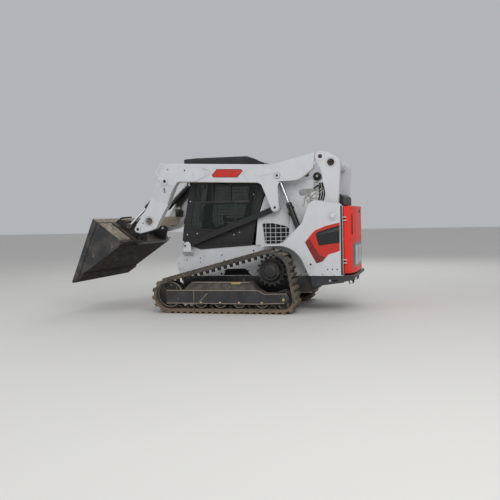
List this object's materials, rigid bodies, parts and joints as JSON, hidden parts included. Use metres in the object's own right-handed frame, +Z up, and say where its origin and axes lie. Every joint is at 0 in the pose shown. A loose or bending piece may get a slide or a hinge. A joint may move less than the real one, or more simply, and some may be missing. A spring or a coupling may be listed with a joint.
{
  "type": "compact track loader",
  "caption": "Compact track loader with a closed cab, rubber tracks on triangular loops, vertical-lift arms raised a little and a wide bucket held ahead of the machine",
  "frame": {"origin": "on the ground, on the centre plane, midway between the bucket's cutting edge and the rear bumper", "axes": "+X forward to the bucket, +Y to the machine's left, +Z up"},
  "size_m": [3.8412, 1.88, 2.088],
  "materials": {
    "frame_charcoal": "semi-gloss charcoal paint, dusty",
    "body_white": "semi-gloss warm white paint",
    "body_red": "semi-gloss red paint",
    "roof_charcoal": "satin charcoal paint, dusty on top",
    "engine_grey": "cast, painted grey",
    "bumper_steel": "thick dark grey plate",
    "glass": "lightly tinted safety glass",
    "seat_metal": "black powder coat",
    "seat_vinyl": "black vinyl",
    "floor_black": "ribbed rubber mat on plate",
    "console_plastic": "grained black plastic",
    "lamp": "clear lens in a black housing",
    "track_rubber": "black rubber with dried soil",
    "wheel_steel": "dark painted castings, worn bright on the rims",
    "carrier_black": "black paint, chipped",
    "bucket_steel": "black paint outside, worn steel inside",
    "edge_steel": "worn bare steel",
    "barrel_black": "gloss black paint",
    "rod_chrome": "hard chrome"
  },
  "bodies": {
    "chassis": {"main_frame": "body_white", "left_tower": "body_white", "right_tower": "body_white", "side_panels": "body_white", "engine": "engine_grey", "engine_deck": "frame_charcoal", "bumper": "bumper_steel", "left_cab_side": "frame_charcoal", "right_cab_side": "frame_charcoal", "cab_back": "frame_charcoal", "cab_roof": "roof_charcoal", "front_door": "frame_charcoal", "cab_glass": "glass", "seat_base": "seat_metal", "seat_cushion": "seat_vinyl", "seat_back": "seat_vinyl", "cab_floor": "floor_black", "consoles": "console_plastic", "front_lamps": "lamp", "left_track": "track_rubber", "right_track": "track_rubber", "sprockets": "wheel_steel", "rollers": "wheel_steel", "idlers": "wheel_steel", "left_track_frame": "frame_charcoal", "right_track_frame": "frame_charcoal"},
    "control_links": {"control_links": "frame_charcoal"},
    "lift_arms": {"left_lift_arm": "body_white", "right_lift_arm": "body_white", "front_cross_tube": "body_white"},
    "rear_links": {"left_rear_link": "body_white", "right_rear_link": "body_white", "link_cross_tube": "body_white"},
    "lift_barrels": {"lift_barrels": "barrel_black"},
    "lift_rods": {"lift_rods": "rod_chrome"},
    "tilt_barrels": {"tilt_barrels": "barrel_black"},
    "tilt_rods": {"tilt_rods": "rod_chrome"},
    "bucket": {"carrier": "carrier_black", "bucket": "bucket_steel", "cutting_edge": "edge_steel"},
    "tailgate": {"tailgate": "body_red"},
    "rear_grille": {"rear_grille": "frame_charcoal"}
  },
  "joints": [
    {"name": "lift", "type": "hinge", "parent": "chassis", "child": "control_links", "pos_m": [0.395, 0, 0.884], "axis": [0, 1, 0], "range_deg": [-14.1, 30.4]},
    {"name": "arm_on_control_links", "type": "hinge", "parent": "control_links", "child": "lift_arms", "pos_m": [-0.886, 0, 1.373], "axis": [0, -1, 0], "range_deg": [-36, 76.5]},
    {"name": "rear_link_on_arm", "type": "hinge", "parent": "lift_arms", "child": "rear_links", "pos_m": [-1.494, 0, 2.018], "axis": [0, 1, 0], "range_deg": [-22, 46]},
    {"name": "lift_cylinder_foot", "type": "hinge", "parent": "chassis", "child": "lift_barrels", "pos_m": [-1.358, 0, 0.628], "axis": [0, -1, 0], "range_deg": [-2.5, 4.5]},
    {"name": "lift_cylinder_stroke", "type": "slide", "parent": "lift_barrels", "child": "lift_rods", "axis": [0.3499, 0, 0.9368], "range_m": [-0.24, 0.5]},
    {"name": "tilt", "type": "hinge", "parent": "lift_arms", "child": "bucket", "pos_m": [1.072, 0, 1.12], "axis": [0, 1, 0], "range_deg": [-85, 53]},
    {"name": "tilt_cylinder_foot", "type": "hinge", "parent": "lift_arms", "child": "tilt_barrels", "pos_m": [0.637, 0, 1.763], "axis": [0, -1, 0], "range_deg": [-5, 5]},
    {"name": "tilt_cylinder_stroke", "type": "slide", "parent": "tilt_barrels", "child": "tilt_rods", "axis": [0.7214, 0, -0.6926], "range_m": [-0.25, 0.16]},
    {"name": "tailgate_hinge", "type": "hinge", "parent": "chassis", "child": "tailgate", "pos_m": [-1.806, 0.626, 0.935], "axis": [0, 0, -1], "range_deg": [0, 105]},
    {"name": "rear_grille_hinge", "type": "hinge", "parent": "chassis", "child": "rear_grille", "pos_m": [-1.16, 0, 1.402], "axis": [0, 1, 0], "range_deg": [0, 35]}
  ],
  "couplings": [
    {"joint": "arm_on_control_links", "follows": "lift", "ratio": 2.494},
    {"joint": "rear_link_on_arm", "follows": "lift", "ratio": 1.494},
    {"joint": "lift_cylinder_foot", "follows": "lift", "ratio": 0.12},
    {"joint": "lift_cylinder_stroke", "follows": "lift", "m_per_rad": 0.9167},
    {"joint": "tilt_cylinder_foot", "follows": "tilt", "ratio": -0.02},
    {"joint": "tilt_cylinder_stroke", "follows": "tilt", "m_per_rad": 0.1604}
  ]
}
